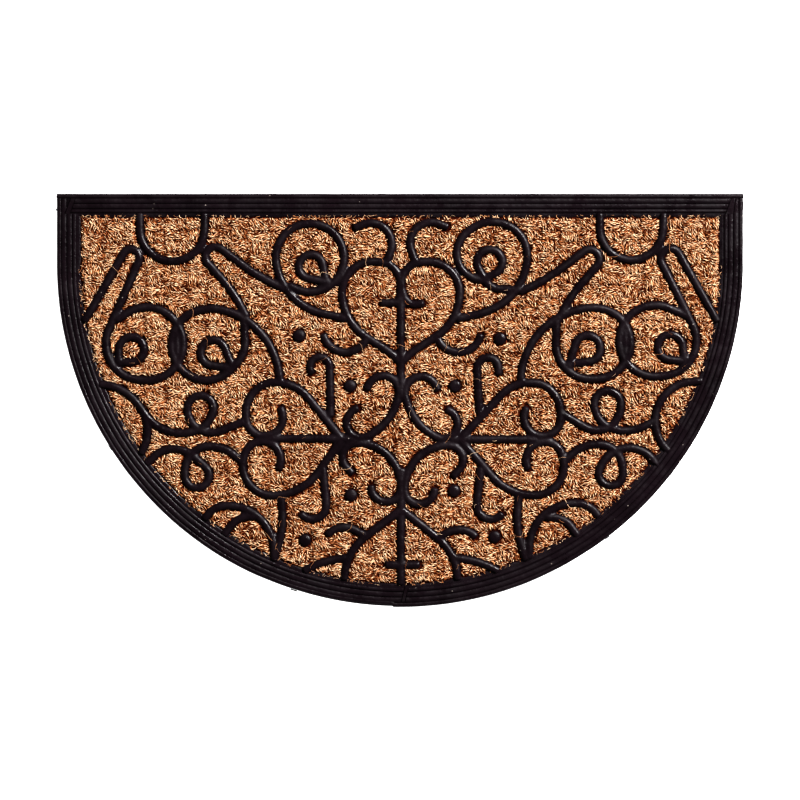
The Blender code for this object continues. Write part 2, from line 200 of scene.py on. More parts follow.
# and some bent a little differently
RIGHT_SCROLLS = {
    "arch": [(292, 20, 0), (256, 38.8, -35), (221, 20, 0)],
    "outer_leaf_and_ring": [(352.5, 144, 0), (299.3, 72, 10.8), (288.5, 163, -39.5),
                            (282, 163.3, -39.5), (320, 137, 0)],
    "outer_ring_curl": [(317, 186, 0), (299, 170.3, -14), (314.5, 187.5, 0)],
    "inner_ring": [(133, 209.5, 0), (216, 209.5, -83), (215.5, 166.3, -39.5),
                   (211.5, 166.5, -39.5), (173, 138, 0)],
    "inner_ring_curl": [(185.5, 195.5, 0), (207, 172, -14.5), (180.8, 190, 0)],
    "volute": [(60, 139.5, 0), (72, 66.5, 68.5), (102, 69.7, 38.5), (92, 66.2, 30), (101, 95, 0)],
    "volute_curl": [(134, 107, 0), (108.7, 89, -16.6), (98.5, 76, -14), (88, 97, 0)],
    "top_heart": [(0, 188, 0), (54, 228, -66.5), (5.5, 109, 60), (30.5, 110.5, 35),
                  (24, 99.5, 23.5), (16.2, 109.5, 13.5), (27.5, 121.6, 0)],
    "upper_crook": [(108.3, 203, 0), (96.5, 193.7, 11.8), (87.5, 247, 0)],
    "side_heart_top": [(65, 273, 0), (144.5, 256, -46.5), (144.5, 242.5, -33),
                       (157, 248.5, -20.5), (141, 235.5, 0)],
    "side_heart_bottom": [(65, 272, 0), (147.5, 274, 61), (148, 302, 33),
                          (159.5, 295.5, 20.5), (142.5, 308, 0)],
    "side_scroll_top": [(285, 250, 0), (249.5, 217, -46), (244, 232.5, -29.5),
                        (229.5, 233, -14.5), (217.5, 236, -26.5), (177, 243, 0)],
    "side_scroll_branch": [(337, 207.5, 0), (326, 252.5, 44), (299, 287.5, 0)],
    "side_scroll_bottom": [(281, 302, 0), (253, 315.5, 33.5), (233, 310.5, 13.5),
                           (219, 305.5, 27.5), (219.5, 323.5, 45.5), (181, 299, 0)],
}
CENTRE_RODS = {
    # name: the two ends of a straight rod, as (right of the centre line, down)
    "upper_stem": [(0, 99.5), (0, 229)],
    "lower_stem": [(0, 303), (0, 436)],
    "cross_bar": [(-19.0, 412), (22.5, 412)],
}

# Studs that pin the inlay, given as (out, down)
LEFT_STUDS = [(113, 157.5), (56.5, 213.5), (55.5, 334.5), (106.5, 384.5)]
RIGHT_STUDS = [(110, 161), (60, 213.5), (59, 330), (104, 381)]
STUD_DIAMETER = 13.6
STUD_TOP = 10.4

# Coir: the woven blocks of the inlay, and the strands that lie on it
BLOCK_LENGTH = 23.0
BLOCK_WIDTH = 12.3
BLOCK_HEIGHT = 1.2
TUFT_HEIGHT = 0.8
TUFT_FOOT = COIR_TOP - 1.5
PILE_FOOT = COIR_TOP - 0.9
PILE_RISE = 2.0
PRESSED_FROM = 3.0
PRESSED_TO = 9.5
KEPT_OFF_RODS = 4.7
INLAY_OVERLAP = 0.2
INLAY_COLUMNS = 200
INLAY_ROWS = 110
STRAND_SETS = [
    # (name, seed, spacing, length, thickness, lift, tone from, tone to)
    # The lower sets take darker tones than the higher ones: painted shade for the depth of the pile
    ("coir_strands_low", 11, 2.1, 6.5, 1.05, 0.1, 0.0, 0.4),
    ("coir_strands_mid", 23, 1.95, 6.0, 0.84, 0.45, 0.0, 0.82),
    ("coir_strands_top", 37, 1.85, 5.3, 0.72, 0.9, 0.4, 1.4),
]
LOOSE_FIBRES = {
    # name: (count, seed, length, thickness, spring)
    "stray_fibres": (70, 7, 15.0, 0.26, 2.6),
    "lip_fibres": (420, 9, 4.6, 0.4, 0.5),
}
# Share of the lip's fibres that lie along the straight edge
LIP_STRAIGHT_SHARE = 0.42

# Tones of the strands from dark husk to straw, and of the redder ones among them; the darkest stops also
# colour the painted shade on strand flanks, at the blocks' edges and in the low set
STRAND_TONES = [
    (0.0, (0.030, 0.0015, 0.0009)),
    (0.2, (0.095, 0.0165, 0.0042)),
    (0.4, (0.225, 0.066, 0.020)),
    (0.6, (0.42, 0.170, 0.066)),
    (0.8, (0.70, 0.37, 0.185)),
    (1.0, (0.96, 0.70, 0.46)),
]
RED_STRAND = (0.32, 0.105, 0.03, 1.0)


def heading_between(start, finish):
    """Heading of the straight tangent that leaves one bend for the next."""
    along_x = finish[0] - start[0]
    along_y = finish[1] - start[1]
    lean = max(-1.0, min(1.0, (start[2] - finish[2]) / math.hypot(along_x, along_y)))
    return math.atan2(along_y, along_x) - math.asin(lean)


def scroll_path(bends):
    """Points about ROD_STEP apart along a rod bent round (x, y, signed radius) bends."""
    headings = [heading_between(a, b) for a, b in zip(bends, bends[1:])]
    corners = [bends[0][:2]]
    for (x, y, radius), heading_in, heading_out in zip(bends[1:-1], headings, headings[1:]):
        turn = 1 if radius > 0 else -1
        sweep = (turn * (heading_in - heading_out)) % (2 * math.pi)
        if sweep > math.radians(GRAZING_SWEEP):
            sweep = 0.0
        steps = max(1, math.ceil(sweep * abs(radius) / ROD_STEP))
        for step in range(steps + 1):
            heading = heading_in - turn * sweep * step / steps
            corners.append((x - radius * math.sin(heading), y + radius * math.cos(heading)))
    corners.append(bends[-1][:2])
    points = [corners[0]]
    for corner in corners[1:]:
        apart = math.dist(points[-1], corner)
        if apart < ROD_STEP * 0.3:
            continue
        before = points[-1]
        parts = max(1, round(apart / ROD_STEP))
        for part in range(1, parts + 1):
            share = part / parts
            points.append((before[0] + (corner[0] - before[0]) * share,
                           before[1] + (corner[1] - before[1]) * share))
    return points


def pattern_paths():
    """Every rod of the scrollwork as points in plan."""
    paths = []
    for name, bends in SIDE_SCROLLS.items():
        further_out, further_down = RIGHT_MOVES.get(name, (0.0, 0.0))
        moved = [(out + further_out, down + further_down, radius) for out, down, radius in bends]
        right_bends = RIGHT_SCROLLS.get(name, moved)
        left = scroll_path([(-out, TOP_Y - down, radius) for out, down, radius in bends])
        right = scroll_path([(-out, TOP_Y - down, radius) for out, down, radius in right_bends])
        paths.append([(PATTERN_SHIFT + x, y) for x, y in left])
        paths.append([(PATTERN_SHIFT - x, y) for x, y in right])
    for ends in CENTRE_RODS.values():
        bends = [(x + PATTERN_SHIFT, TOP_Y - down, 0) for x, down in ends]
        paths.append(scroll_path(bends))
    return paths


def rounded_shares(path):
    """Share of the full section at each point, rounded off at both tips."""
    lengths = [0.0]
    for a, b in zip(path, path[1:]):
        lengths.append(lengths[-1] + math.dist(a, b))
    shares = []
    for length in lengths:
        near = min(length, lengths[-1] - length) / ROD_END_ROUND
        shares.append(0.25 + 0.75 * math.sqrt(max(0.0, 1 - (1 - min(near, 1.0)) ** 2)))
    return shares


def arc_points(inset, first, last, steps):
    """Points round the half circle between two angles in degrees, moved in by the inset."""
    made = []
    for step in range(steps + 1):
        angle = math.radians(first + (last - first) * step / steps)
        made.append((math.cos(angle) * (RADIUS - inset), ARC_Y + math.sin(angle) * (RADIUS - inset)))
    return made


def mat_outline(inset, steps=160):
    """The mat's whole outline, moved in by the inset."""
    side, edge = RADIUS - inset, TOP_Y - inset
    return arc_points(inset, 180, 360, steps) + [(side, edge), (-side, edge)]


def inset_of(x, y):
    """How far inside the mat's outline a place lies."""
    from_side = RADIUS - (abs(x) if y > ARC_Y else math.hypot(x, y - ARC_Y))
    return min(TOP_Y - y, from_side)


# Helpers for node trees

def put(tree, kind, inputs=None, **settings):
    """Adds a node with its settings, and sets or links the inputs that are named."""
    made = tree.nodes.new(kind)
    for key, value in settings.items():
        setattr(made, key, value)
    for key, value in (inputs or {}).items():
        if isinstance(value, bpy.types.NodeSocket):
            tree.links.new(value, made.inputs[key])
        else:
            made.inputs[key].default_value = value
    return made


def maths(tree, operation, first, second=0.0, third=None):
    inputs = {0: first, 1: second}
    if third is not None:
        inputs[2] = third
    return put(tree, "ShaderNodeMath", inputs, operation=operation).outputs[0]


def position(tree):
    return put(tree, "GeometryNodeInputPosition").outputs[0]


def parts_of(tree, vector):
    return put(tree, "ShaderNodeSeparateXYZ", {0: vector}).outputs


def in_plan(tree, vector):
    """The vector without its height."""
    return put(tree, "ShaderNodeVectorMath", {0: vector, 1: (1.0, 1.0, 0.0)},
               operation="MULTIPLY").outputs[0]


def stored(tree, geometry, name, value, domain):
    """The geometry with the value kept on it as a named attribute."""
    return put(tree, "GeometryNodeStoreNamedAttribute",
               {"Geometry": geometry, "Name": name, "Value": value},
               data_type="FLOAT", domain=domain).outputs[0]


def read_back(tree, name):
    return put(tree, "GeometryNodeInputNamedAttribute", {"Name": name},
               data_type="FLOAT").outputs["Attribute"]


def new_material(name):
    """An empty material with its node tree and its shader."""
    material = bpy.data.materials.new(name)
    material.use_nodes = True
    return material, material.node_tree, material.node_tree.nodes["Principled BSDF"]


def grain_bump(tree, shader, grain, sizes, strength, distance):
    """Roughens a material by the fine grain, with the sizes of its pits and waves."""
    height = put(tree, "ShaderNodeGroup", {"Pit Size": sizes[0], "Wave Size": sizes[1]},
                 node_tree=grain)
    bump = put(tree, "ShaderNodeBump", {"Height": height.outputs["Height"],
                                        "Strength": strength, "Distance": distance})
    tree.links.new(bump.outputs[0], shader.inputs["Normal"])


def new_tree(name, sockets):
    """Geometry node tree that takes a geometry and the named inputs."""
    tree = bpy.data.node_groups.new(name, "GeometryNodeTree")
    tree.is_modifier = True
    tree.interface.new_socket("Geometry", in_out="INPUT", socket_type="NodeSocketGeometry")
    for label, kind in sockets:
        tree.interface.new_socket(label, in_out="INPUT", socket_type="NodeSocket" + kind)
    tree.interface.new_socket("Geometry", in_out="OUTPUT", socket_type="NodeSocketGeometry")
    given = tree.nodes.new("NodeGroupInput").outputs
    return tree, given


def end_tree(tree, geometry, material):
    """Every tree ends in Realize Instances and Set Material."""
    real = put(tree, "GeometryNodeRealizeInstances", {"Geometry": geometry})
    dressed = put(tree, "GeometryNodeSetMaterial", {"Geometry": real.outputs[0], "Material": material})
    put(tree, "NodeGroupOutput", {0: dressed.outputs[0]})


def made_by(tree, source, name, values):
    """Runs a tree on a source object, and gives the result as a plain mesh object."""
    modifier = source.modifiers.new(tree.name, "NODES")
    modifier.node_group = tree
    for socket in tree.interface.items_tree:
        if socket.in_out == "INPUT" and socket.name in values:
            modifier[socket.identifier] = values[socket.name]
    depsgraph = bpy.context.evaluated_depsgraph_get()
    mesh = bpy.data.meshes.new_from_object(source.evaluated_get(depsgraph),
                                           preserve_all_data_layers=True, depsgraph=depsgraph)
    source.modifiers.remove(modifier)
    bpy.data.objects.remove(source, do_unlink=True)
    mesh.name = name
    piece = bpy.data.objects.new(name, mesh)
    bpy.context.scene.collection.objects.link(piece)
    return piece


def path_object(name, paths, closed=False):
    """Curve object of poly lines; each path is [(x, y, z, share), ...] in millimetres."""
    curve = bpy.data.curves.new(name, "CURVE")
    curve.dimensions = "3D"
    for path in paths:
        spline = curve.splines.new("POLY")
        spline.points.add(len(path) - 1)
        for point, (x, y, z, share) in zip(spline.points, path):
            point.co = (x * MM, y * MM, z * MM, 1.0)
            point.radius = share
        spline.use_cyclic_u = closed
    thing = bpy.data.objects.new(name, curve)
    bpy.context.scene.collection.objects.link(thing)
    return thing


def mesh_object(name, bm):
    mesh = bpy.data.meshes.new(name)
    bm.to_mesh(mesh)
    bm.free()
    thing = bpy.data.objects.new(name, mesh)
    bpy.context.scene.collection.objects.link(thing)
    return thing


# Node trees for the pieces

def sweep_tree():
    """A closed section swept along paths in plan, its size following the path's share."""
    tree, given = new_tree("swept_section", [("Section", "Object"), ("Wander", "Float"),
                                             ("Wander Scale", "Float"), ("Material", "Material")])
    place = position(tree)
    noise = put(tree, "ShaderNodeTexNoise", {"Vector": place, "Scale": given["Wander Scale"],
                                             "Detail": 1.0})
    centred = put(tree, "ShaderNodeVectorMath", {0: noise.outputs["Color"], 1: (0.5, 0.5, 0.5)},
                  operation="SUBTRACT").outputs[0]
    offset = put(tree, "ShaderNodeVectorMath", {0: in_plan(tree, centred),
                                                "Scale": given["Wander"]},
                 operation="SCALE").outputs[0]
    moved = put(tree, "GeometryNodeSetPosition", {"Geometry": given["Geometry"], "Offset": offset})
    upright = put(tree, "GeometryNodeSetCurveNormal", {"Curve": moved.outputs[0]}, mode="Z_UP")
    section = put(tree, "GeometryNodeObjectInfo", {"Object": given["Section"]}).outputs["Geometry"]
    share = put(tree, "GeometryNodeInputRadius").outputs[0]
    swept = put(tree, "GeometryNodeCurveToMesh", {"Curve": upright.outputs[0],
                                                  "Profile Curve": section, "Scale": share,
                                                  "Fill Caps": True})
    end_tree(tree, swept.outputs[0], given["Material"])
    return tree


def studs_tree():
    """A domed stud on every point."""
    tree, given = new_tree("domed_studs", [("Diameter", "Float"), ("Height", "Float"),
                                           ("Material", "Material")])
    ball = put(tree, "GeometryNodeMeshUVSphere", {"Segments": 28, "Rings": 18, "Radius": 1.0})
    parts = parts_of(tree, position(tree))
    steep = maths(tree, "SIGN", parts["Z"])
    flatter = maths(tree, "POWER", maths(tree, "ABSOLUTE", parts["Z"]), 0.62)
    lifted = put(tree, "ShaderNodeCombineXYZ", {"X": parts["X"], "Y": parts["Y"],
                                                "Z": maths(tree, "MULTIPLY", steep, flatter)})
    shaped = put(tree, "GeometryNodeSetPosition", {"Geometry": ball.outputs["Mesh"],
                                                   "Position": lifted.outputs[0]})
    smooth = put(tree, "GeometryNodeSetShadeSmooth", {"Geometry": shaped.outputs[0]})
    across = maths(tree, "DIVIDE", given["Diameter"], 2.0)
    size = put(tree, "ShaderNodeCombineXYZ", {"X": across, "Y": across, "Z": given["Height"]})
    placed = put(tree, "GeometryNodeInstanceOnPoints", {"Points": given["Geometry"],
                                                        "Instance": smooth.outputs[0],
                                                        "Scale": size.outputs[0]})
    end_tree(tree, placed.outputs[0], given["Material"])
    return tree


def inlay_tree():
    """The coir inlay's body: a half-round slab whose upper face has soft woven tufts."""
    tree, given = new_tree("coir_inlay", [("Half Width", "Float"), ("Upper Edge", "Float"),
                                          ("Arc Centre", "Float"), ("Bottom", "Float"),
                                          ("Top", "Float"), ("Block Length", "Float"),
                                          ("Block Width", "Float"),
                                          ("Tuft Height", "Float"), ("Columns", "Int"),
                                          ("Rows", "Int"), ("Rods", "Object"),
                                          ("Pile Rise", "Float"), ("Pressed From", "Float"),
                                          ("Pressed To", "Float"), ("Material", "Material")])
    grid = put(tree, "GeometryNodeMeshGrid", {"Size X": 2.0, "Size Y": 1.0,
                                              "Vertices X": given["Columns"],
                                              "Vertices Y": given["Rows"]})
    parts = parts_of(tree, position(tree))
    turn = maths(tree, "SINE", maths(tree, "MULTIPLY", parts["X"], math.pi / 2))
    x = maths(tree, "MULTIPLY", turn, given["Half Width"])
    square = maths(tree, "SUBTRACT", maths(tree, "POWER", given["Half Width"], 2.0),
                   maths(tree, "POWER", maths(tree, "ABSOLUTE", x), 2.0))
    drop = maths(tree, "SQRT", maths(tree, "MAXIMUM", square, 0.0))
    lower_edge = maths(tree, "SUBTRACT", given["Arc Centre"], drop)
    share = maths(tree, "ADD", parts["Y"], 0.5)
    height = maths(tree, "SUBTRACT", given["Upper Edge"], lower_edge)
    y = maths(tree, "MULTIPLY_ADD", height, share, lower_edge)
    floor = put(tree, "ShaderNodeCombineXYZ", {"X": x, "Y": y, "Z": given["Bottom"]})
    flat = put(tree, "GeometryNodeSetPosition", {"Geometry": grid.outputs["Mesh"],
                                                 "Position": floor.outputs[0]})
    rise = put(tree, "ShaderNodeCombineXYZ", {"Z": maths(tree, "SUBTRACT", given["Top"],
                                                         given["Bottom"])})
    raised = put(tree, "GeometryNodeExtrudeMesh", {"Mesh": flat.outputs[0],
                                                   "Offset": rise.outputs[0],
                                                   "Offset Scale": 1.0, "Individual": False})
    under = put(tree, "GeometryNodeFlipFaces", {"Mesh": flat.outputs[0]})
    both = put(tree, "GeometryNodeJoinGeometry")
    tree.links.new(raised.outputs["Mesh"], both.inputs[0])
    tree.links.new(under.outputs[0], both.inputs[0])
    closed = put(tree, "GeometryNodeMergeByDistance", {"Geometry": both.outputs[0],
                                                       "Distance": 0.00002})
    now = position(tree)
    now_parts = parts_of(tree, now)
    flat_now = in_plan(tree, now)
    _, domed = woven_blocks(tree, flat_now, given["Block Length"], given["Block Width"])
    bump = maths(tree, "MULTIPLY", domed, given["Tuft Height"])
    bump = maths(tree, "ADD", bump, pile_over_rods(tree, given["Rods"], flat_now, given)[1])
    is_top = maths(tree, "GREATER_THAN", now_parts["Z"],
                   maths(tree, "MULTIPLY", maths(tree, "ADD", given["Top"], given["Bottom"]), 0.5))
    lift = put(tree, "ShaderNodeCombineXYZ", {"Z": maths(tree, "MULTIPLY", bump, is_top)})
    tufted = put(tree, "GeometryNodeSetPosition", {"Geometry": closed.outputs[0],
                                                   "Offset": lift.outputs[0]})
    smooth = put(tree, "GeometryNodeSetShadeSmooth", {"Geometry": tufted.outputs[0]})
    end_tree(tree, smooth.outputs[0], given["Material"])
    return tree


def strand_shape(tree, length, thickness, bow):
    """A spindle along X with a light bow: two tips and a ring of three corners."""
    line = put(tree, "GeometryNodeCurvePrimitiveLine", {"Start": (-0.5, 0.0, 0.0),
                                                        "End": (0.5, 0.0, 0.0)})
    parted = put(tree, "GeometryNodeResampleCurve", {"Curve": line.outputs[0], "Count": 3})
    along = put(tree, "GeometryNodeSplineParameter").outputs["Factor"]
    middle = maths(tree, "GREATER_THAN", maths(tree, "MULTIPLY", along,
                                               maths(tree, "SUBTRACT", 1.0, along)), 0.05)
    narrow = put(tree, "GeometryNodeSetCurveRadius", {"Curve": parted.outputs[0],
                                                      "Radius": middle})
    sag = put(tree, "ShaderNodeCombineXYZ", {"Y": maths(tree, "MULTIPLY", middle, bow)})
    bowed = put(tree, "GeometryNodeSetPosition", {"Geometry": narrow.outputs[0],
                                                  "Offset": sag.outputs[0]})
    size = put(tree, "ShaderNodeCombineXYZ", {"X": length, "Y": length, "Z": length})
    stretched = put(tree, "GeometryNodeTransform", {"Geometry": bowed.outputs[0],
                                                    "Scale": size.outputs[0]})
    ring = put(tree, "GeometryNodeCurvePrimitiveCircle",
               {"Resolution": 3, "Radius": maths(tree, "MULTIPLY", thickness, 0.62)})
    share = put(tree, "GeometryNodeInputRadius").outputs[0]
    skin = put(tree, "GeometryNodeCurveToMesh", {"Curve": stretched.outputs[0],
                                                 "Profile Curve": ring.outputs[0],
                                                 "Scale": share, "Fill Caps": False})
    return put(tree, "GeometryNodeMergeByDistance", {"Geometry": skin.outputs[0],
                                                     "Distance": 0.000002}).outputs[0]


def woven_blocks(tree, flat, length, width):
    """Checkered blocks of the weave: odd (1) or even (0), and the dome of each block."""
    drift = put(tree, "ShaderNodeTexNoise", {"Vector": flat, "Scale": 16.0, "Detail": 2.0})
    shift = put(tree, "ShaderNodeVectorMath", {0: drift.outputs["Color"], "Scale": 0.016},
                operation="SCALE").outputs[0]
    strayed = put(tree, "ShaderNodeVectorMath", {0: flat, 1: shift}, operation="ADD").outputs[0]
    parts = parts_of(tree, strayed)
    down = maths(tree, "DIVIDE", parts["Y"], width)
    across = maths(tree, "DIVIDE", parts["X"], length)
    odd = maths(tree, "FLOORED_MODULO", maths(tree, "ADD", maths(tree, "FLOOR", down),
                                              maths(tree, "FLOOR", across)), 2.0)
    u = maths(tree, "ABSOLUTE", maths(tree, "SUBTRACT", maths(tree, "FRACT", across), 0.5))
    v = maths(tree, "ABSOLUTE", maths(tree, "SUBTRACT", maths(tree, "FRACT", down), 0.5))
    outward = maths(tree, "MULTIPLY", maths(tree, "MAXIMUM", u, v), 2.0)
    domed = maths(tree, "SUBTRACT", 0.3, maths(tree, "POWER", outward, 2.5))
    return odd, domed


def pile_over_rods(tree, rods, flat, given):
    """How the pile swells between the rods: distance from them, height, slope and its heading."""
    info = put(tree, "GeometryNodeObjectInfo", {"Object": rods}).outputs["Geometry"]
    wires = put(tree, "GeometryNodeCurveToMesh", {"Curve": info})
    near = put(tree, "GeometryNodeProximity", {0: wires.outputs[0], "Source Position": flat},
               target_element="EDGES")
    apart = near.outputs["Distance"]
    reach = maths(tree, "SUBTRACT", given["Pressed To"], given["Pressed From"])
    share = maths(tree, "DIVIDE", maths(tree, "SUBTRACT", apart, given["Pressed From"]), reach)
    share = maths(tree, "MINIMUM", maths(tree, "MAXIMUM", share, 0.0), 1.0)
    square = maths(tree, "MULTIPLY", share, share)
    rounded = maths(tree, "MULTIPLY", square, maths(tree, "MULTIPLY_ADD", share, -2.0, 3.0))
    height = maths(tree, "MULTIPLY", given["Pile Rise"], rounded)
    steep = maths(tree, "MULTIPLY", maths(tree, "MULTIPLY", share, maths(tree, "SUBTRACT", 1.0, share)),
                  6.0)
    slope = maths(tree, "DIVIDE", maths(tree, "MULTIPLY", steep, given["Pile Rise"]), reach)
    away = put(tree, "ShaderNodeVectorMath", {0: flat, 1: near.outputs["Position"]},
               operation="SUBTRACT").outputs[0]
    return apart, height, slope, away


def random_between(tree, low, high, seed):
    made = put(tree, "FunctionNodeRandomValue", data_type="FLOAT")
    made.inputs[2].default_value = low
    made.inputs[3].default_value = high
    made.inputs["Seed"].default_value = seed
    return made.outputs[1]


def strands_tree():
    """Coir strands lying in woven blocks over the inlay, pressed down beside the rods, with painted
    shade on their flanks and at the blocks' edges.
    """
    tree, given = new_tree("coir_strands", [("Rods", "Object"), ("Keep Off", "Float"),
                                            ("Pile Rise", "Float"), ("Pressed From", "Float"),
                                            ("Pressed To", "Float"), ("Pile Foot", "Float"),
                                            ("Spacing", "Float"),
                                            ("Length", "Float"), ("Thickness", "Float"),
                                            ("Lift", "Float"), ("Block Length", "Float"),
                                            ("Block Width", "Float"), ("Block Height", "Float"),
                                            ("Tone From", "Float"),
                                            ("Tone To", "Float"), ("Seed", "Int"),
                                            ("Material", "Material")])
    normal = put(tree, "GeometryNodeInputNormal").outputs[0]
    up = parts_of(tree, normal)["Z"]
    strewn = put(tree, "GeometryNodeDistributePointsOnFaces",
                 {"Mesh": given["Geometry"], "Distance Min": given["Spacing"],
                  "Density Max": 400000.0,
                  "Selection": maths(tree, "GREATER_THAN", up, 0.3), "Seed": given["Seed"]},
                 distribute_method="POISSON")
    place = position(tree)
    flat = in_plan(tree, place)
    apart, height, slope, away = pile_over_rods(tree, given["Rods"], flat, given)
    kept = put(tree, "GeometryNodeDeleteGeometry",
               {"Geometry": strewn.outputs["Points"],
                "Selection": maths(tree, "LESS_THAN", apart, given["Keep Off"])}, domain="POINT")
    odd, domed = woven_blocks(tree, flat, given["Block Length"], given["Block Width"])
    broad = put(tree, "ShaderNodeTexNoise", {"Vector": flat, "Scale": 55.0, "Detail": 2.0})
    slant = maths(tree, "MULTIPLY", maths(tree, "SUBTRACT", broad.outputs["Fac"], 0.5), 4.0)
    heading = maths(tree, "SUBTRACT", slant, odd)
    heading = maths(tree, "ADD", heading, random_between(tree, -0.45, 0.45, 3))
    turned = put(tree, "ShaderNodeCombineXYZ", {"X": random_between(tree, 0.0, 6.2, 7),
                                                "Y": random_between(tree, -0.12, 0.12, 5),
                                                "Z": heading})
    level = put(tree, "FunctionNodeEulerToRotation", {0: turned.outputs[0]})
    uphill = parts_of(tree, away)
    axis = put(tree, "ShaderNodeCombineXYZ", {"X": uphill["Y"],
                                              "Y": maths(tree, "MULTIPLY", uphill["X"], -1.0)})
    tip = put(tree, "FunctionNodeAxisAngleToRotation",
              {"Axis": axis.outputs[0], "Angle": maths(tree, "ARCTANGENT", slope)})
    rotation = put(tree, "FunctionNodeRotateRotation",
                   {"Rotation": level.outputs[0], "Rotate By": tip.outputs[0]},
                   rotation_space="GLOBAL")
    girth = random_between(tree, 0.7, 1.3, 10)
    size = put(tree, "ShaderNodeCombineXYZ", {"X": random_between(tree, 0.45, 1.6, 9),
                                              "Y": girth, "Z": girth})
    strand = strand_shape(tree, given["Length"], given["Thickness"], 0.07)
    tone = maths(tree, "MULTIPLY_ADD", random_between(tree, 0.0, 1.0, 13),
                 maths(tree, "SUBTRACT", given["Tone To"], given["Tone From"]),
                 given["Tone From"])
    # Painted shade: strands on the crown of a woven block are made lighter, those at its edges darker
    tone = maths(tree, "ADD", tone, maths(tree, "MULTIPLY", domed, 0.3))
    pile = maths(tree, "ADD", given["Pile Foot"], height)
    pile = maths(tree, "ADD", pile, maths(tree, "MULTIPLY", domed, given["Block Height"]))
    pile = maths(tree, "ADD", pile, maths(tree, "MULTIPLY", given["Lift"],
                                          random_between(tree, 0.2, 1.0, 17)))
    parts = parts_of(tree, place)
    spot = put(tree, "ShaderNodeCombineXYZ", {"X": parts["X"], "Y": parts["Y"], "Z": pile})
    lifted = put(tree, "GeometryNodeSetPosition", {"Geometry": kept.outputs[0],
                                                   "Position": spot.outputs[0]})
    based = stored(tree, lifted.outputs[0], "foot", parts["Z"], "POINT")
    placed = put(tree, "GeometryNodeInstanceOnPoints", {"Points": based,
                                                        "Instance": strand,
                                                        "Rotation": rotation.outputs[0],
                                                        "Scale": size.outputs[0]})
    toned = stored(tree, placed.outputs[0], "tone", tone, "INSTANCE")
    real = put(tree, "GeometryNodeRealizeInstances", {"Geometry": toned})
    own, foot = read_back(tree, "tone"), read_back(tree, "foot")
    # Painted shade: the crest of a strand is made lighter and its flanks, which lie in the depth, darker
    crest_shade = maths(tree, "DIVIDE", maths(tree, "SUBTRACT", parts["Z"], foot), given["Thickness"])
    crest_shade = maths(tree, "MINIMUM", maths(tree, "MAXIMUM", crest_shade, -0.6), 0.6)
    shaded = stored(tree, real.outputs[0], "tone",
                    maths(tree, "MULTIPLY_ADD", crest_shade, 0.75, own), "POINT")
    bare = put(tree, "GeometryNodeRemoveAttribute", {"Geometry": shaded, "Name": "foot"})
    smooth = put(tree, "GeometryNodeSetShadeSmooth", {"Geometry": bare.outputs[0]})
    end_tree(tree, smooth.outputs[0], given["Material"])
    return tree


def stray_tree():
    """A thin fibre that springs in an arch over every point."""
    tree, given = new_tree("stray_fibres", [("Length", "Float"), ("Thickness", "Float"),
                                            ("Spring", "Float"), ("Material", "Material")])
    line = put(tree, "GeometryNodeCurvePrimitiveLine", {"Start": (-0.5, 0.0, 0.0),
                                                        "End": (0.5, 0.0, 0.0)})
    parted = put(tree, "GeometryNodeResampleCurve", {"Curve": line.outputs[0], "Count": 9})
    along = put(tree, "GeometryNodeSplineParameter").outputs["Factor"]
    belly = maths(tree, "SINE", maths(tree, "MULTIPLY", along, math.pi))
    sway = maths(tree, "SINE", maths(tree, "MULTIPLY", along, 4.4))
    parts = parts_of(tree, position(tree))
    arch = put(tree, "ShaderNodeCombineXYZ",
               {"X": maths(tree, "MULTIPLY", parts["X"], given["Length"]),
                "Y": maths(tree, "MULTIPLY", maths(tree, "MULTIPLY", sway, 0.16), given["Length"]),
                "Z": maths(tree, "MULTIPLY", maths(tree, "SUBTRACT", belly, 1.0), given["Spring"])})
    sprung = put(tree, "GeometryNodeSetPosition", {"Geometry": parted.outputs[0],
                                                   "Position": arch.outputs[0]})
    ring = put(tree, "GeometryNodeCurvePrimitiveCircle",
               {"Resolution": 3, "Radius": maths(tree, "MULTIPLY", given["Thickness"], 0.56)})
    skin = put(tree, "GeometryNodeCurveToMesh", {"Curve": sprung.outputs[0],
                                                 "Profile Curve": ring.outputs[0],
                                                 "Fill Caps": True})
    turned = put(tree, "ShaderNodeCombineXYZ", {"Z": random_between(tree, 0.0, 6.28, 3)})
    rotation = put(tree, "FunctionNodeEulerToRotation", {0: turned.outputs[0]})
    size = put(tree, "ShaderNodeCombineXYZ", {"X": random_between(tree, 0.55, 1.5, 5),
                                              "Y": random_between(tree, 0.4, 1.6, 7), "Z": 1.0})
    placed = put(tree, "GeometryNodeInstanceOnPoints", {"Points": given["Geometry"],
                                                        "Instance": skin.outputs[0],
                                                        "Rotation": rotation.outputs[0],
                                                        "Scale": size.outputs[0]})
    toned = stored(tree, placed.outputs[0], "tone", random_between(tree, 0.6, 1.1, 13),
                   "INSTANCE")
    end_tree(tree, toned, given["Material"])
    return tree


# Finishes

def fine_grain_group():
    """Height of a moulded surface: fine pits and a faint waviness."""
    tree = bpy.data.node_groups.new("fine_grain", "ShaderNodeTree")
    for label in ("Pit Size", "Wave Size"):
        tree.interface.new_socket(label, in_out="INPUT", socket_type="NodeSocketFloat")
    tree.interface.new_socket("Height", in_out="OUTPUT", socket_type="NodeSocketFloat")
    given = tree.nodes.new("NodeGroupInput").outputs
    place = put(tree, "ShaderNodeTexCoord").outputs["Object"]
    pits = put(tree, "ShaderNodeTexNoise", {"Vector": place, "Detail": 4.0,
                                            "Scale": maths(tree, "DIVIDE", 1.0, given["Pit Size"])})
    waves = put(tree, "ShaderNodeTexNoise", {"Vector": place, "Detail": 2.0,
                                             "Scale": maths(tree, "DIVIDE", 1.0, given["Wave Size"])})
    height = maths(tree, "MULTIPLY_ADD", pits.outputs["Fac"], 0.35, waves.outputs["Fac"])
    put(tree, "NodeGroupOutput", {0: height})
    return tree


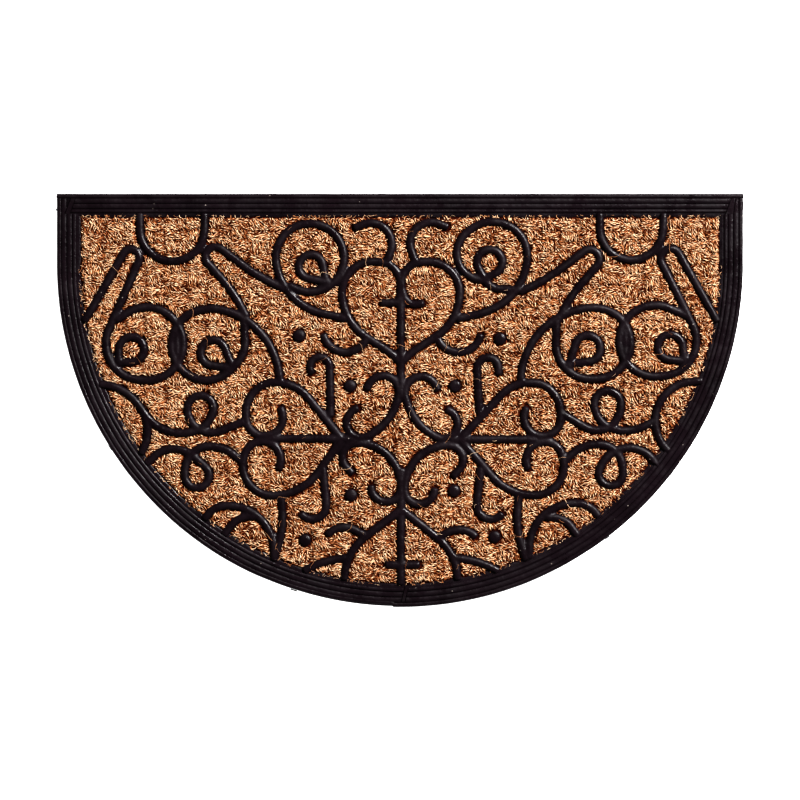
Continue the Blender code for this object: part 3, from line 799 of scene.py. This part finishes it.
def ramp(tree, factor, stops):
    made = put(tree, "ShaderNodeValToRGB", {0: factor})
    points = made.color_ramp.elements
    while len(points) < len(stops):
        points.new(0.5)
    for point, (place, colour) in zip(points, stops):
        point.position = place
        point.color = (*colour, 1.0)
    return made.outputs["Color"]


def rubber_finish(grain):
    """Satin black moulded rubber with fine grain, a little dust and pale specks."""
    material, tree, shader = new_material("moulded_rubber")
    place = put(tree, "ShaderNodeTexCoord").outputs["Object"]
    broad = put(tree, "ShaderNodeTexNoise", {"Vector": place, "Scale": 28.0, "Detail": 5.0,
                                             "Roughness": 0.6})
    base = ramp(tree, broad.outputs["Fac"], [(0.3, (0.0060, 0.0034, 0.0047)),
                                             (0.7, (0.0120, 0.0072, 0.0096))])
    cells = put(tree, "ShaderNodeTexVoronoi", {"Vector": place, "Scale": 210.0})
    rare = put(tree, "ShaderNodeTexWhiteNoise", {0: cells.outputs["Position"]})
    chosen = maths(tree, "GREATER_THAN", rare.outputs["Value"], 0.972)
    dot = maths(tree, "LESS_THAN", cells.outputs["Distance"], 0.14)
    speck = maths(tree, "MULTIPLY", chosen, dot)
    dusty = put(tree, "ShaderNodeMix", {"Factor": speck, 6: base, 7: (0.22, 0.19, 0.17, 1.0)},
                data_type="RGBA")
    tree.links.new(dusty.outputs[2], shader.inputs["Base Color"])
    polish = put(tree, "ShaderNodeTexNoise", {"Vector": place, "Scale": 60.0, "Detail": 3.0})
    rough = put(tree, "ShaderNodeMapRange", {"Value": polish.outputs["Fac"], "From Min": 0.38,
                                             "From Max": 0.62, "To Min": 0.2, "To Max": 0.5})
    tree.links.new(rough.outputs[0], shader.inputs["Roughness"])
    shader.inputs["Specular IOR Level"].default_value = 0.125
    grain_bump(tree, shader, grain, sizes=(0.0011, 0.0045), strength=0.8, distance=0.0006)
    return material


def strand_finish():
    """Coir strands: every strand has its own tone, from dark husk to straw, darkened further by painted
    shade on its flanks, at the blocks' edges and in the lower sets.
    """
    material, tree, shader = new_material("coir_strand")
    tone = put(tree, "ShaderNodeAttribute", attribute_name="tone").outputs["Fac"]
    place = put(tree, "ShaderNodeTexCoord").outputs["Object"]
    streak = put(tree, "ShaderNodeTexNoise", {"Vector": place, "Scale": 420.0, "Detail": 2.0})
    patch = put(tree, "ShaderNodeTexNoise", {"Vector": place, "Scale": 38.0, "Detail": 3.0})
    varied = maths(tree, "ADD", tone, maths(tree, "MULTIPLY_ADD", streak.outputs["Fac"], 0.3, -0.15))
    varied = maths(tree, "ADD", varied, maths(tree, "MULTIPLY_ADD", patch.outputs["Fac"], 0.6, -0.3))
    straw = ramp(tree, varied, STRAND_TONES)
    odd_one = maths(tree, "FRACT", maths(tree, "MULTIPLY", tone, 53.7))
    redness = maths(tree, "MULTIPLY", maths(tree, "GREATER_THAN", odd_one, 0.75), 0.4)
    mixed = put(tree, "ShaderNodeMix", {"Factor": redness, 6: straw, 7: RED_STRAND},
                data_type="RGBA")
    tree.links.new(mixed.outputs[2], shader.inputs["Base Color"])
    shader.inputs["Roughness"].default_value = 0.65
    shader.inputs["Specular IOR Level"].default_value = 0.12
    return material


def inlay_finish(grain):
    """The depth of the coir under the top fibres, coloured dark brown to near black as painted shade."""
    material, tree, shader = new_material("coir_depth_painted_shade")
    place = put(tree, "ShaderNodeTexCoord").outputs["Object"]
    strands = put(tree, "ShaderNodeTexNoise", {"Vector": place, "Scale": 330.0, "Detail": 6.0,
                                               "Roughness": 0.7})
    # Painted shade: the depth between the strands is coloured dark brown to near black
    colour = ramp(tree, strands.outputs["Fac"], [(0.35, (0.012, 0.0012, 0.0006)),
                                                 (0.55, (0.035, 0.005, 0.0016)),
                                                 (0.75, (0.10, 0.022, 0.006))])
    tree.links.new(colour, shader.inputs["Base Color"])
    shader.inputs["Roughness"].default_value = 0.9
    shader.inputs["Specular IOR Level"].default_value = 0.05
    grain_bump(tree, shader, grain, sizes=(0.0014, 0.005), strength=0.9, distance=0.0015)
    return material


# Pieces of rubber

def section_object(name, profile):
    """A swept section; its first number points right of the path and its second up."""
    corners = [(right, -up, 0.0, 1.0) for right, up in profile]
    return path_object(name, [corners], closed=True)


def tidy_closed(piece):
    """Merges doubled points, turns all faces outwards and shades them by angle."""
    bm = bmesh.new()
    bm.from_mesh(piece.data)
    bmesh.ops.remove_doubles(bm, verts=bm.verts, dist=0.000004)
    bmesh.ops.recalc_face_normals(bm, faces=bm.faces)
    for face in bm.faces:
        face.smooth = True
    for edge in bm.edges:
        if len(edge.link_faces) != 2:
            continue
        flat_side = max(face.calc_area() for face in edge.link_faces) > LARGE_FACE
        edge.smooth = edge.calc_face_angle() < math.radians(20 if flat_side else 38)
    bm.to_mesh(piece.data)
    bm.free()


def cut_by(bm, point, away):
    """Cuts off what lies on the far side of an upright plane, and closes the cut."""
    everything = bm.verts[:] + bm.edges[:] + bm.faces[:]
    bmesh.ops.bisect_plane(bm, geom=everything, dist=0.000001, plane_co=Vector(point) * MM,
                           plane_no=Vector(away), clear_outer=True)
    rim = [edge for edge in bm.edges if len(edge.link_faces) == 1]
    bmesh.ops.holes_fill(bm, edges=rim, sides=0)


def cut_piece(piece, cuts):
    bm = bmesh.new()
    bm.from_mesh(piece.data)
    bmesh.ops.remove_doubles(bm, verts=bm.verts, dist=0.000004)
    for point, away in cuts:
        cut_by(bm, point, away)
    bm.to_mesh(piece.data)
    bm.free()


def joined(name, pieces):
    """One mesh object from several."""
    bm = bmesh.new()
    for piece in pieces:
        bm.from_mesh(piece.data)
    materials = list(pieces[0].data.materials)
    for piece in pieces:
        bpy.data.objects.remove(piece, do_unlink=True)
    whole = mesh_object(name, bm)
    for material in materials:
        whole.data.materials.append(material)
    return whole


def slab_piece(name, outline, bottom, top, material, bevel=0.0):
    """A flat plate with this outline."""
    bm = bmesh.new()
    base = bm.faces.new([bm.verts.new((x * MM, y * MM, bottom * MM)) for x, y in outline])
    raised = bmesh.ops.extrude_face_region(bm, geom=[base])["geom"]
    lifted = [item for item in raised if isinstance(item, bmesh.types.BMVert)]
    bmesh.ops.translate(bm, verts=lifted, vec=Vector((0, 0, (top - bottom) * MM)))
    bmesh.ops.recalc_face_normals(bm, faces=bm.faces)
    if bevel:
        upper = max(bm.faces, key=lambda face: face.calc_center_median().z)
        bmesh.ops.bevel(bm, geom=list(upper.edges), offset=bevel * MM, segments=2, profile=0.5,
                        affect="EDGES")
    plate = mesh_object(name, bm)
    plate.data.materials.append(material)
    return plate


def swept(tree, name, profile, path, material, wander=0.0, wander_scale=20.0):
    section = section_object(name + "_section", profile)
    route = path_object(name + "_route", [path])
    piece = made_by(tree, route, name, {"Section": section, "Wander": wander * MM,
                                        "Wander Scale": wander_scale, "Material": material})
    bpy.data.objects.remove(section, do_unlink=True)
    return piece


def with_full_share(points):
    return [(x, y, 0.0, 1.0) for x, y in points]


def straight(start, finish, step=3.0):
    parts = max(1, round(math.dist(start, finish) / step))
    return [(start[0] + (finish[0] - start[0]) * part / parts,
             start[1] + (finish[1] - start[1]) * part / parts) for part in range(parts)]


def strip_outline(strip):
    (x0, y0, x1, y1), (x2, y2, x3, y3) = JOINT_STRIPS[strip]
    return [(x0, y0), (x2, y2), (x3, y3), (x1, y1)]


def strip_cut(strip, side):
    """Upright plane beside a strip: side -1 keeps what lies to its left, 1 to its right."""
    foot_x, foot_y, head_x, head_y = JOINT_STRIPS[strip][0 if side < 0 else 1]
    length = math.hypot(head_x - foot_x, head_y - foot_y)
    right = ((head_y - foot_y) / length, -(head_x - foot_x) / length)
    point = (foot_x + right[0] * side * CUT_GAP, foot_y + right[1] * side * CUT_GAP, 0.0)
    return point, (-right[0] * side, -right[1] * side, 0.0)


def fray_lip(piece):
    """Moves the free edge of the lip in and out a little, as the rubber flowed."""
    for vertex in piece.data.vertices:
        x, y = vertex.co.x / MM, vertex.co.y / MM
        from_side = RADIUS - (abs(x) if y > ARC_Y else math.hypot(x, y - ARC_Y))
        if inset_of(x, y) > LIP_INSET and vertex.co.z > LIP_HEIGHT * MM:
            push = noise.noise(Vector((x, y, 0.0)) * 0.21) * 1.6
            push += noise.noise(Vector((x, y, 9.0)) * 0.55) * 0.9
            if TOP_Y - y < from_side:
                vertex.co.y -= push * MM
            elif y > ARC_Y:
                vertex.co.x -= math.copysign(push, x) * MM
            else:
                spread = 1 - push / math.hypot(x, y - ARC_Y)
                vertex.co.x = x * spread * MM
                vertex.co.y = (ARC_Y + (y - ARC_Y) * spread) * MM


def left_edge(side_run):
    """Left half of the outline, which ends a little short where the mould's halves meet."""
    left_side = straight((-RADIUS, side_run), (-RADIUS, ARC_Y))
    stepped = []
    for x, y in left_side + arc_points(0, 180, SPLICE_LEFT, 150):
        angle = math.degrees(math.atan2(y - ARC_Y, x)) % 360
        near = max(0.0, min(1.0, (angle - SPLICE_DRAWS_IN) / SPLICE_DRAWN))
        inward = SPLICE_STEP * near * near * (3 - 2 * near)
        kept = 1 - inward / math.hypot(x, y - ARC_Y)
        stepped.append((x * kept, ARC_Y + (y - ARC_Y) * kept))
    return stepped


def flash_outline(x, y, heading, length, width):
    """A long strip, tapered towards the outside at both tips."""
    along = Vector((math.cos(math.radians(heading)), math.sin(math.radians(heading))))
    side = Vector((-along.y, along.x)) * width / 2
    first, last = Vector((x, y)) - along * length / 2, Vector((x, y)) + along * length / 2
    thin = along * length * 0.15
    return [tuple(corner) for corner in (first - side, last - side, last - thin + side,
                                         first + thin + side)]


def build_border(tree, rubber):
    """Ribbed border: an edge rib all round, inner ribs in three runs, and joint strips."""
    # Travelling with the mat's middle on the right: up the left side is clockwise
    side_run = TOP_Y - EDGE_RIB_WIDTH - CUT_GAP / 2
    right_arc = arc_points(0, SPLICE_RIGHT, 360, 150)
    right_side = straight((RADIUS, ARC_Y), (RADIUS, side_run)) + [(RADIUS, side_run)]
    whole_edge = (left_edge(side_run) + right_arc[:-1] + right_side)[::-1]
    pieces = [swept(tree, "edge_rib", EDGE_RIB_PROFILE, with_full_share(whole_edge), rubber,
                    wander=0.5, wander_scale=60.0)]
    top_edge = straight((-RADIUS, TOP_Y), (RADIUS, TOP_Y)) + [(RADIUS, TOP_Y)]
    pieces.append(swept(tree, "top_edge_rib", EDGE_RIB_PROFILE, with_full_share(top_edge), rubber,
                        wander=0.35, wander_scale=60.0))
    top_inner = swept(tree, "top_ribs", INNER_RIBS_PROFILE, with_full_share(top_edge), rubber)
    fray_lip(top_inner)
    cut_piece(top_inner, [strip_cut("left_joint", 1), strip_cut("right_joint", -1)])
    pieces.append(top_inner)
    lower_route = straight((-RADIUS, CORNER_FOOT), (-RADIUS, ARC_Y))
    lower_route += arc_points(0, 180, 360, 260)[:-1]
    lower_route += straight((RADIUS, ARC_Y), (RADIUS, CORNER_FOOT)) + [(RADIUS, CORNER_FOOT)]
    for name, side in (("left_ribs", -1), ("right_ribs", 1)):
        ribs = swept(tree, name, INNER_RIBS_PROFILE, with_full_share(lower_route[::-1]), rubber)
        fray_lip(ribs)
        cut_piece(ribs, [strip_cut("splice", side)])
        pieces.append(ribs)
    for joint, side in (("left_joint", -1), ("right_joint", 1)):
        corner_route = [(side * RADIUS, side_run), (side * RADIUS, CORNER_FOOT)][::side]
        ribs = swept(tree, joint + "_ribs", INNER_RIBS_PROFILE,
                     with_full_share(corner_route), rubber)
        cut_piece(ribs, [strip_cut(joint, side)])
        pieces.append(ribs)
    for flash in EDGE_FLASH:
        pieces.append(slab_piece("flash", flash_outline(*flash), FLASH_BOTTOM, FLASH_TOP, rubber))
    for name in JOINT_STRIPS:
        pieces.append(slab_piece(name, strip_outline(name), STRIP_BOTTOM, RIB_TOP, rubber,
                                 bevel=0.5))
    pieces.append(ring_piece("border_bed", mat_outline(1.2), mat_outline(BORDER_WIDTH - 0.6),
                             BED_BOTTOM, BED_TOP, rubber))
    border = joined("ribbed_border", pieces)
    tidy_closed(border)
    return border


def ring_piece(name, outer, inner, bottom, top, material):
    """A flat ring between two outlines of as many points."""
    bm = bmesh.new()
    loops = [[bm.verts.new((x * MM, y * MM, z * MM)) for x, y in outline]
             for outline, z in ((outer, bottom), (outer, top), (inner, top), (inner, bottom))]
    count = len(outer)
    for here, there in zip(loops, loops[1:] + loops[:1]):
        for index in range(count):
            after = (index + 1) % count
            bm.faces.new((here[index], here[after], there[after], there[index]))
    bmesh.ops.recalc_face_normals(bm, faces=bm.faces)
    ring = mesh_object(name, bm)
    ring.data.materials.append(material)
    return ring


def build_backing(rubber):
    return slab_piece("backing_sheet", mat_outline(0.8), 0.0, SHEET_TOP, rubber)


def run_on(path):
    """The path, lengthened as far as the border at an end that comes close to it."""
    for _ in range(2):
        (x, y), (from_x, from_y) = path[-1], path[-4]
        length = math.hypot(x - from_x, y - from_y)
        step_x, step_y = (x - from_x) / length * ROD_STEP, (y - from_y) / length * ROD_STEP
        if BORDER_WIDTH < inset_of(x, y) < BORDER_WIDTH + BORDER_REACH:
            while inset_of(x, y) > BORDER_WIDTH - 1.5 and len(path) < 2000:
                x, y = x + step_x, y + step_y
                path = path + [(x, y)]
                if math.dist((x, y), (from_x, from_y)) > length + ROD_RUN_ON:
                    break
        path = path[::-1]
    return path


def rod_profile():
    """Upper half of a rod, widened by WEB_REACH so that narrow corners close when it shrinks."""
    half = ROD_WIDTH / 2 + WEB_REACH
    height = ROD_TOP - ROD_FOOT + WEB_REACH
    corners = []
    for step in range(13):
        angle = math.pi * step / 12
        corners.append((half * math.cos(angle), height * math.sin(angle) ** 0.75))
    return [(half, -WEB_REACH)] + corners + [(-half, -WEB_REACH)]


def build_scrollwork(tree, rubber, paths):
    """All rods fused into one moulding, with webs in the narrow corners between them."""
    route = []
    for path in paths:
        path = run_on(path)
        shares = rounded_shares(path)
        route.append([(x, y, ROD_FOOT, share) for (x, y), share in zip(path, shares)])
    section = section_object("rod_section", rod_profile())
    rods = path_object("rod_routes", route)
    scrollwork = made_by(tree, rods, "scrollwork", {"Section": section, "Wander": ROD_WANDER * MM,
                                                    "Wander Scale": 30.0, "Material": rubber})
    bpy.data.objects.remove(section, do_unlink=True)
    tidy_closed(scrollwork)
    fuse = scrollwork.modifiers.new("fuse", "REMESH")
    fuse.mode = "VOXEL"
    fuse.voxel_size = FUSE_VOXEL * MM
    shrink = scrollwork.modifiers.new("shrink", "DISPLACE")
    shrink.strength = -WEB_REACH * MM
    shrink.mid_level = 0.0
    soften = scrollwork.modifiers.new("soften", "SMOOTH")
    soften.factor = 0.5
    soften.iterations = 2
    thin = scrollwork.modifiers.new("thin", "DECIMATE")
    thin.ratio = FACES_KEPT
    depsgraph = bpy.context.evaluated_depsgraph_get()
    mesh = bpy.data.meshes.new_from_object(scrollwork.evaluated_get(depsgraph))
    scrollwork.modifiers.clear()
    scrollwork.data = mesh
    mesh.name = "scrollwork"
    for face in mesh.polygons:
        face.use_smooth = True
    return scrollwork


def stud_places():
    both = [(-out, down) for out, down in LEFT_STUDS] + RIGHT_STUDS
    return [(x + PATTERN_SHIFT, TOP_Y - down) for x, down in both]


def build_studs(tree, rubber):
    bm = bmesh.new()
    for x, y in stud_places():
        bm.verts.new((x * MM, y * MM, COIR_TOP * MM))
    places = mesh_object("stud_places", bm)
    return made_by(tree, places, "studs", {"Diameter": STUD_DIAMETER * MM,
                                           "Height": (STUD_TOP - COIR_TOP) * MM,
                                           "Material": rubber})


# Places and wires for the coir

def stray_points(paths, count, seed):
    """Places on the rods that a stray fibre crosses."""
    chance = random.Random(seed)
    bm = bmesh.new()
    for _ in range(count):
        x, y = chance.choice(chance.choice(paths))
        bm.verts.new((x * MM, y * MM, (ROD_TOP + 0.05) * MM))
    return mesh_object("stray_places", bm)


def lip_points(count, seed):
    """Places along the border's lip, where short ends of fibre lie on the rubber."""
    chance = random.Random(seed)
    bm = bmesh.new()
    for _ in range(count):
        inset = BORDER_WIDTH + chance.uniform(-1.6, 2.2)
        along = chance.uniform(-1.0, 1.0)
        if chance.random() < LIP_STRAIGHT_SHARE:
            x, y = along * (RADIUS - inset), TOP_Y - inset
        else:
            x, y = arc_points(inset, 270 + along * 90, 360, 1)[0]
        bm.verts.new((x * MM, y * MM, (RIB_TOP - 1.75) * MM))
    return mesh_object("lip_places", bm)


def rod_wires(paths):
    """The rods' middle lines and the inlay's outline, which press the pile down."""
    wires = [[(x, y, 0.0, 1.0) for x, y in path[2:-2]] for path in paths]
    for x, y in stud_places():
        wires.append([(x + STUD_DIAMETER / 4 * math.cos(math.pi * part / 6),
                       y + STUD_DIAMETER / 4 * math.sin(math.pi * part / 6), 0.0, 1.0)
                      for part in range(13)])
    rim = mat_outline(BORDER_WIDTH - 1.8, steps=200)
    rim.append(rim[0])
    wires.append([(x, y, 0.0, 1.0) for x, y in rim])
    return path_object("rod_wires", wires)


# Build everything

grain = fine_grain_group()
rubber = rubber_finish(grain)
strand_look = strand_finish()
inlay_look = inlay_finish(grain)
sweep = sweep_tree()
paths = pattern_paths()

border = build_border(sweep, rubber)
backing = build_backing(rubber)
scrollwork = build_scrollwork(sweep, rubber, paths)
studs = build_studs(studs_tree(), rubber)

pile = {"Pile Rise": PILE_RISE * MM, "Pressed From": PRESSED_FROM * MM,
        "Pressed To": PRESSED_TO * MM, "Block Length": BLOCK_LENGTH * MM,
        "Block Width": BLOCK_WIDTH * MM}
wires = rod_wires(paths)
carrier = mesh_object("inlay_start", bmesh.new())
inlay = made_by(inlay_tree(), carrier, "coir_inlay",
                {"Half Width": (RADIUS - BORDER_WIDTH + INLAY_OVERLAP) * MM,
                 "Upper Edge": (TOP_Y - BORDER_WIDTH + INLAY_OVERLAP) * MM,
                 "Arc Centre": ARC_Y * MM, "Bottom": COIR_BOTTOM * MM, "Top": TUFT_FOOT * MM,
                 "Tuft Height": TUFT_HEIGHT * MM, "Columns": INLAY_COLUMNS,
                 "Rows": INLAY_ROWS, "Rods": wires,
                 "Material": inlay_look, **pile})

strand_tree = strands_tree()
fibres = []
for name, seed, spacing, length, thickness, lift, tone_from, tone_to in STRAND_SETS:
    ground = bpy.data.objects.new(name + "_ground", inlay.data.copy())
    bpy.context.scene.collection.objects.link(ground)
    fibres.append(made_by(strand_tree, ground, name,
                          {"Rods": wires, "Keep Off": KEPT_OFF_RODS * MM,
                           "Pile Foot": PILE_FOOT * MM,
                           "Spacing": spacing * MM, "Length": length * MM,
                           "Thickness": thickness * MM, "Lift": lift * MM,
                           "Block Height": BLOCK_HEIGHT * MM, "Tone From": tone_from, "Tone To": tone_to,
                           "Seed": seed, "Material": strand_look, **pile}))
bpy.data.objects.remove(wires, do_unlink=True)
stray = stray_tree()
for name, (count, seed, length, thickness, spring) in LOOSE_FIBRES.items():
    over_rods = name == "stray_fibres"
    places = stray_points(paths, count, seed) if over_rods else lip_points(count, seed)
    fibres.append(made_by(stray, places, name, {"Length": length * MM,
                                                "Thickness": thickness * MM,
                                                "Spring": spring * MM,
                                                "Material": strand_look}))

for piece in (border, backing, scrollwork, studs):
    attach(piece, "root")
    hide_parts("rubber_moulding")
for piece in [inlay] + fibres:
    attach(piece, "root")
    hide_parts("coir_panel")

# Camera, floor and light

VIEW_WIDTH = 887.4 * MM
LENS = 100.0
CAMERA_Y = 0.0004
FLOOR_HALF = 6.0

lens = bpy.data.cameras.new("camera")
lens.lens = LENS
camera = bpy.data.objects.new("camera", lens)
camera.location = (0.0, CAMERA_Y, VIEW_WIDTH * LENS / lens.sensor_width + RIB_TOP * MM)
bpy.context.scene.collection.objects.link(camera)
bpy.context.scene.camera = camera

bm = bmesh.new()
bmesh.ops.create_grid(bm, x_segments=1, y_segments=1, size=FLOOR_HALF)
floor = mesh_object("floor", bm)
paper, _, paper_shader = new_material("white_paper")
paper_shader.inputs["Base Color"].default_value = (0.93, 0.93, 0.93, 1.0)
paper_shader.inputs["Roughness"].default_value = 0.9
paper_shader.inputs["Emission Color"].default_value = (1.0, 1.0, 1.0, 1.0)
paper_shader.inputs["Emission Strength"].default_value = 1.0
floor.data.materials.append(paper)

LIGHT_HEADING = math.radians(42.0)
LIGHT_LEAN = math.radians(46.0)
LIGHT_AWAY = 6.0
LIGHT_SIZE = 2.0
LIGHT_POWER = 935.0
WORLD_STRENGTH = 0.16


def softbox(place, size, power):
    """A round soft light that faces the middle of the mat."""
    lamp = bpy.data.lights.new("softbox", "AREA")
    lamp.shape = "DISK"
    lamp.size = size
    lamp.energy = power
    thing = bpy.data.objects.new("softbox", lamp)
    thing.location = place
    thing.rotation_euler = Vector(place).to_track_quat("Z", "Y").to_euler()
    bpy.context.scene.collection.objects.link(thing)


softbox((math.cos(LIGHT_HEADING) * math.sin(LIGHT_LEAN) * LIGHT_AWAY,
         math.sin(LIGHT_HEADING) * math.sin(LIGHT_LEAN) * LIGHT_AWAY,
         math.cos(LIGHT_LEAN) * LIGHT_AWAY), LIGHT_SIZE, LIGHT_POWER)

world = bpy.data.worlds.new("studio")
world.use_nodes = True
sky = world.node_tree.nodes["Background"]
sky.inputs["Color"].default_value = (1.0, 1.0, 1.0, 1.0)
sky.inputs["Strength"].default_value = WORLD_STRENGTH
bpy.context.scene.world = world
bpy.context.scene.view_settings.view_transform = "Standard"
bpy.context.scene.view_settings.look = "High Contrast"
